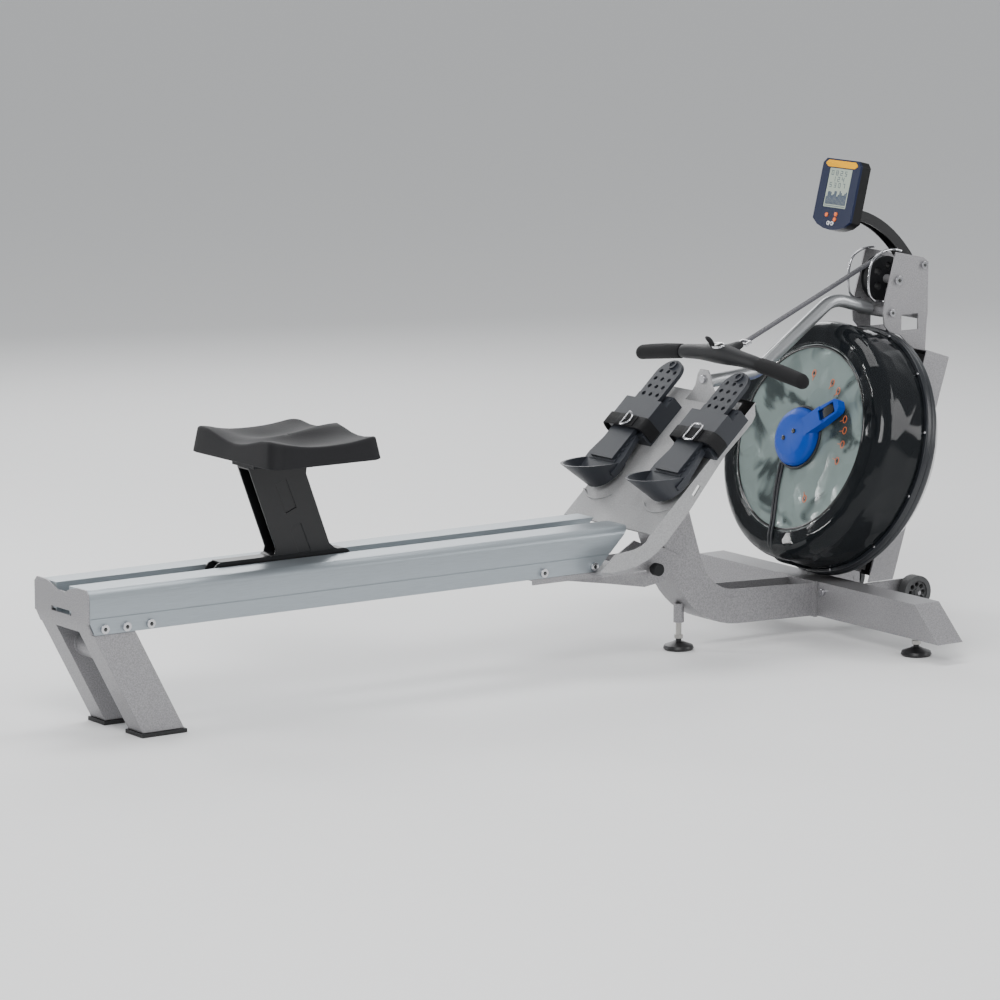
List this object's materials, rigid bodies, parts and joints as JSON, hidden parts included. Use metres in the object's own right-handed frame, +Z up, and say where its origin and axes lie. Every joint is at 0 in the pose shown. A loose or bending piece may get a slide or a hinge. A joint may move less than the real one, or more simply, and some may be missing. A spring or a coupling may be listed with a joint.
{
  "type": "rowing machine",
  "caption": "Water-resistance rowing machine with a sliding seat on twin rails, angled footplate with adjustable footrests, a leaning round water tank and a pull handle on a belt.",
  "frame": {"origin": "on the floor, at the centre of the overall box", "axes": "+X from the rear legs to the tank, +Y to the rower's left when facing the tank, +Z up"},
  "size_m": [2.0926, 0.88, 0.9969],
  "materials": {
    "powder_coat": "textured silver powder coat",
    "anodised": "clear anodised extrusion",
    "tube_silver": "smooth silver paint",
    "bolt_chrome": "chromed steel",
    "rubber_black": "moulded rubber",
    "black_plastic": "moulded plastic",
    "black_steel": "satin black paint",
    "seat_foam": "self-skinned polyurethane",
    "tank_clear": "clear polycarbonate",
    "tank_smoke": "smoked polycarbonate",
    "ring_black": "satin black moulding",
    "blue_plastic": "gloss blue moulding",
    "webbing": "woven nylon",
    "belt": "woven belt",
    "steel": "ground steel",
    "case_navy": "dark blue display case",
    "lcd": "grey-green liquid crystal window",
    "key_orange": "orange key",
    "key_white": "white key",
    "roller_plastic": "acetal roller",
    "wheel_rubber": "grey rubber"
  },
  "bodies": {
    "frame": {"rail_left": "anodised", "rail_right": "anodised", "rear_end_plate": "powder_coat", "rear_leg_frame": "powder_coat", "rear_pads": "rubber_black", "rail_bolts": "bolt_chrome", "rail_cradle": "powder_coat", "footplate": "powder_coat", "main_channel": "powder_coat", "front_stabiliser": "powder_coat", "frame_bolts": "bolt_chrome", "column": "powder_coat", "top_bracket": "powder_coat", "upper_tube": "tube_silver", "wire_guards": "bolt_chrome", "tank_rear_shell": "tank_smoke", "tank_front_shell": "tank_clear", "tank_ring": "ring_black", "tank_gasket": "rubber_black", "tank_inner_wall": "tank_clear", "shaft_bearings": "steel", "shaft_seal": "rubber_black", "belt_return": "belt", "recoil_cord": "webbing", "footrest_bases": "black_plastic", "foot_straps": "webbing", "strap_buckles": "steel"},
    "seat": {"seat_pad": "seat_foam", "seat_block": "black_plastic", "seat_upright": "black_steel", "seat_trolley": "black_steel", "seat_axles": "steel"},
    "front_roller_pair": {"front_rollers": "roller_plastic"},
    "rear_roller_pair": {"rear_rollers": "roller_plastic"},
    "handle": {"handle_core": "black_plastic", "handle_grips": "rubber_black", "handle_shackle": "steel", "belt_span": "belt"},
    "pulley": {"top_pulley": "black_plastic"},
    "spool": {"drive_spool": "black_plastic"},
    "rotor": {"impeller": "black_plastic", "impeller_shaft": "steel"},
    "adjuster": {"adjuster_lever": "blue_plastic"},
    "heel_left": {"heel_slider_left": "black_plastic"},
    "heel_right": {"heel_slider_right": "black_plastic"},
    "arm": {"monitor_arm": "black_steel"},
    "display": {"monitor_case": "case_navy", "monitor_screen": "lcd"},
    "key_select": {"button_select": "key_orange"},
    "key_plus": {"button_plus": "key_orange"},
    "key_minus": {"button_minus": "key_orange"},
    "key_down": {"button_down": "key_white"},
    "key_up": {"button_up": "key_white"},
    "wheel_left": {"transport_wheel_left": "wheel_rubber"},
    "wheel_right": {"transport_wheel_right": "wheel_rubber"},
    "foot_left": {"levelling_foot_left": "rubber_black"},
    "foot_right": {"levelling_foot_right": "rubber_black"},
    "foot_centre": {"levelling_foot_centre": "rubber_black"},
    "latch": {"latch_knob": "black_plastic"}
  },
  "joints": [
    {"name": "seat_slide", "type": "slide", "parent": "frame", "child": "seat", "axis": [1, 0, 0], "range_m": [-0.31, 0.51]},
    {"name": "front_roller_spin", "type": "hinge", "parent": "seat", "child": "front_roller_pair", "pos_m": [-0.416, 0, 0.262], "axis": [0, 1, 0], "continuous": true},
    {"name": "rear_roller_spin", "type": "hinge", "parent": "seat", "child": "rear_roller_pair", "pos_m": [-0.7, 0, 0.262], "axis": [0, 1, 0], "continuous": true},
    {"name": "handle_pull", "type": "slide", "parent": "frame", "child": "handle", "axis": [-0.995, 0, 0.0999], "range_m": [0, 1.25], "stiffness_N_per_m": 20, "springref_m": -0.4, "deforming": ["belt_span"]},
    {"name": "pulley_spin", "type": "hinge", "parent": "frame", "child": "pulley", "pos_m": [0.957, 0, 0.74], "axis": [0, 1, 0], "continuous": true},
    {"name": "spool_spin", "type": "hinge", "parent": "frame", "child": "spool", "pos_m": [0.861, 0, 0.379], "axis": [-0.9537, 0, 0.3007], "continuous": true},
    {"name": "rotor_spin", "type": "hinge", "parent": "frame", "child": "rotor", "pos_m": [0.861, 0, 0.379], "axis": [-0.9537, 0, 0.3007], "continuous": true},
    {"name": "adjuster_turn", "type": "hinge", "parent": "frame", "child": "adjuster", "pos_m": [0.861, 0, 0.379], "axis": [-0.9537, 0, 0.3007], "range_deg": [-97, 59]},
    {"name": "heel_left_slide", "type": "slide", "parent": "frame", "child": "heel_left", "axis": [0.7302, 0, 0.6833], "range_m": [-0.063, 0]},
    {"name": "heel_right_slide", "type": "slide", "parent": "frame", "child": "heel_right", "axis": [0.7302, 0, 0.6833], "range_m": [-0.063, 0]},
    {"name": "arm_pivot", "type": "hinge", "parent": "frame", "child": "arm", "pos_m": [1.026, 0, 0.768], "axis": [0, 1, 0], "range_deg": [-10, 35]},
    {"name": "display_tilt", "type": "hinge", "parent": "arm", "child": "display", "pos_m": [0.86323, 0, 0.88296], "axis": [0, 1, 0], "range_deg": [-25, 25]},
    {"name": "select_press", "type": "slide", "parent": "display", "child": "key_select", "axis": [0.9715, 0, -0.2368], "range_m": [0, 0.0012], "stiffness_N_per_m": 250, "springref_m": -0.0004},
    {"name": "plus_press", "type": "slide", "parent": "display", "child": "key_plus", "axis": [0.9715, 0, -0.2368], "range_m": [0, 0.0012], "stiffness_N_per_m": 250, "springref_m": -0.0004},
    {"name": "minus_press", "type": "slide", "parent": "display", "child": "key_minus", "axis": [0.9715, 0, -0.2368], "range_m": [0, 0.0012], "stiffness_N_per_m": 250, "springref_m": -0.0004},
    {"name": "down_press", "type": "slide", "parent": "display", "child": "key_down", "axis": [0.9715, 0, -0.2368], "range_m": [0, 0.0012], "stiffness_N_per_m": 250, "springref_m": -0.0004},
    {"name": "up_press", "type": "slide", "parent": "display", "child": "key_up", "axis": [0.9715, 0, -0.2368], "range_m": [0, 0.0012], "stiffness_N_per_m": 250, "springref_m": -0.0004},
    {"name": "wheel_left_spin", "type": "hinge", "parent": "frame", "child": "wheel_left", "pos_m": [0.966, 0.11, 0.08], "axis": [0, 1, 0], "continuous": true},
    {"name": "wheel_right_spin", "type": "hinge", "parent": "frame", "child": "wheel_right", "pos_m": [0.966, -0.11, 0.08], "axis": [0, 1, 0], "continuous": true},
    {"name": "foot_left_screw", "type": "hinge", "parent": "frame", "child": "foot_left", "pos_m": [0.787, 0.332, 0], "axis": [0, 0, 1], "continuous": true},
    {"name": "foot_right_screw", "type": "hinge", "parent": "frame", "child": "foot_right", "pos_m": [0.787, -0.332, 0], "axis": [0, 0, 1], "continuous": true},
    {"name": "foot_centre_screw", "type": "hinge", "parent": "frame", "child": "foot_centre", "pos_m": [0.423, 0, 0], "axis": [0, 0, 1], "continuous": true},
    {"name": "latch_pull", "type": "slide", "parent": "frame", "child": "latch", "axis": [0, -1, 0], "range_m": [0, 0.008], "stiffness_N_per_m": 300, "springref_m": -0.002}
  ],
  "couplings": [
    {"joint": "front_roller_spin", "follows": "seat_slide", "rad_per_m": 72.993},
    {"joint": "rear_roller_spin", "follows": "seat_slide", "rad_per_m": 72.993},
    {"joint": "pulley_spin", "follows": "handle_pull", "rad_per_m": -22.124},
    {"joint": "spool_spin", "follows": "handle_pull", "rad_per_m": 22.124}
  ]
}
